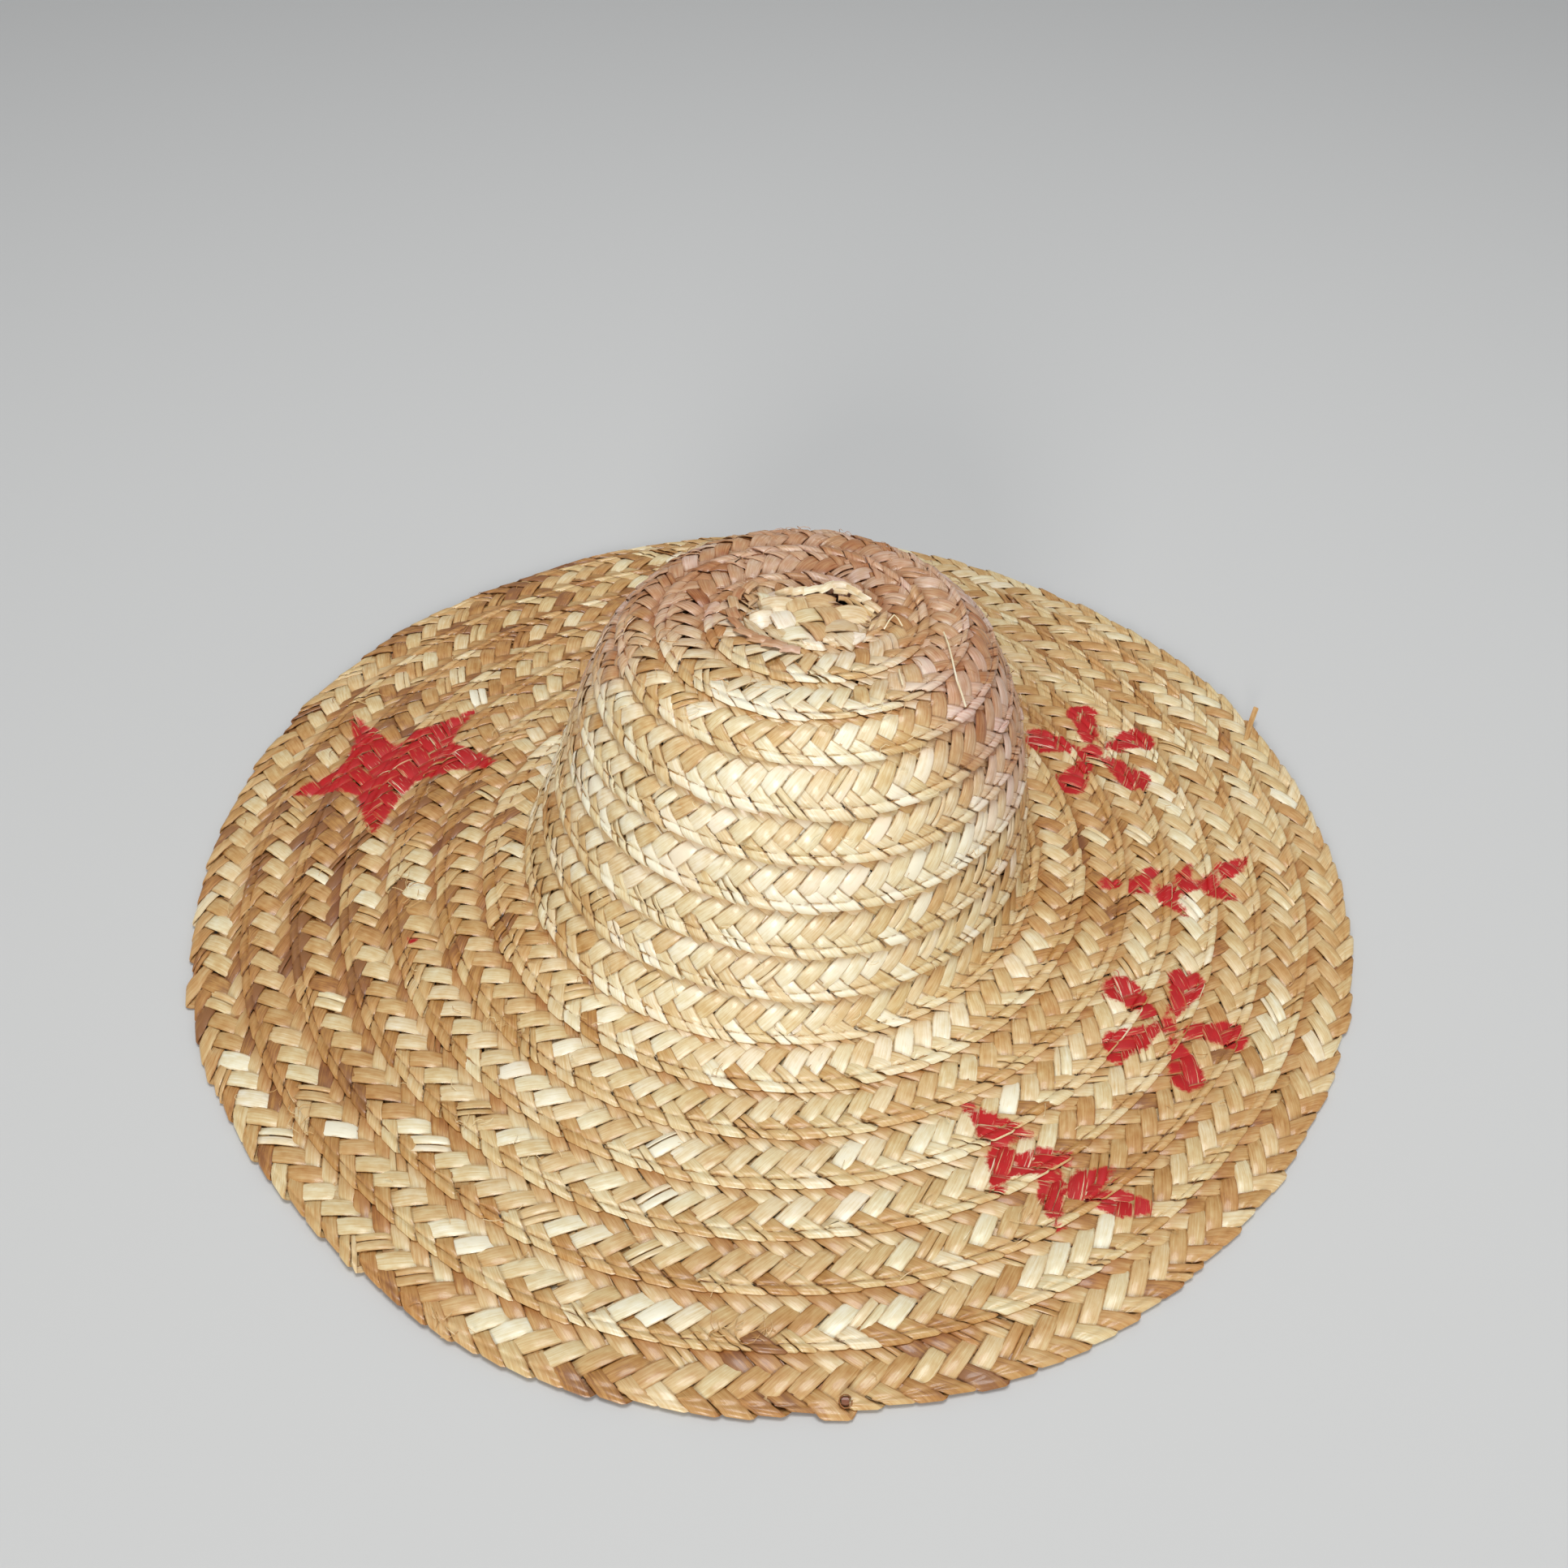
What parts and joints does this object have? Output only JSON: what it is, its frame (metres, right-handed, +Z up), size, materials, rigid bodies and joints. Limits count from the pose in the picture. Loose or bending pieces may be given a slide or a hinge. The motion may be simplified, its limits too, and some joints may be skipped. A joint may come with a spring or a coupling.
{
  "type": "conical straw hat",
  "caption": "Straw sun hat with a tapering flat-topped crown and a wide, nearly level brim, made from one flat woven plait coiled and lapped from crown to rim.",
  "frame": {"origin": "centre of the hat's footprint, on the surface that its rim rests on", "axes": "+Z up out of the crown, -Y the hat's front as pictured, +X to the right seen from the front"},
  "size_m": [0.4216, 0.4216, 0.1084],
  "materials": {
    "straw_button": "split wheat straw plait, satin, with a faint mauve stain",
    "straw_tip": "split wheat straw plait, satin, faded and stained mauve",
    "straw_side": "split wheat straw plait, pale and satin",
    "straw_brim": "split wheat straw plait, golden to tan, satin, with brushed red paint"
  },
  "bodies": {
    "root": {"crown_button": "straw_button", "crown_tip": "straw_tip", "crown_side": "straw_side", "brim": "straw_brim"}
  },
  "joints": []
}
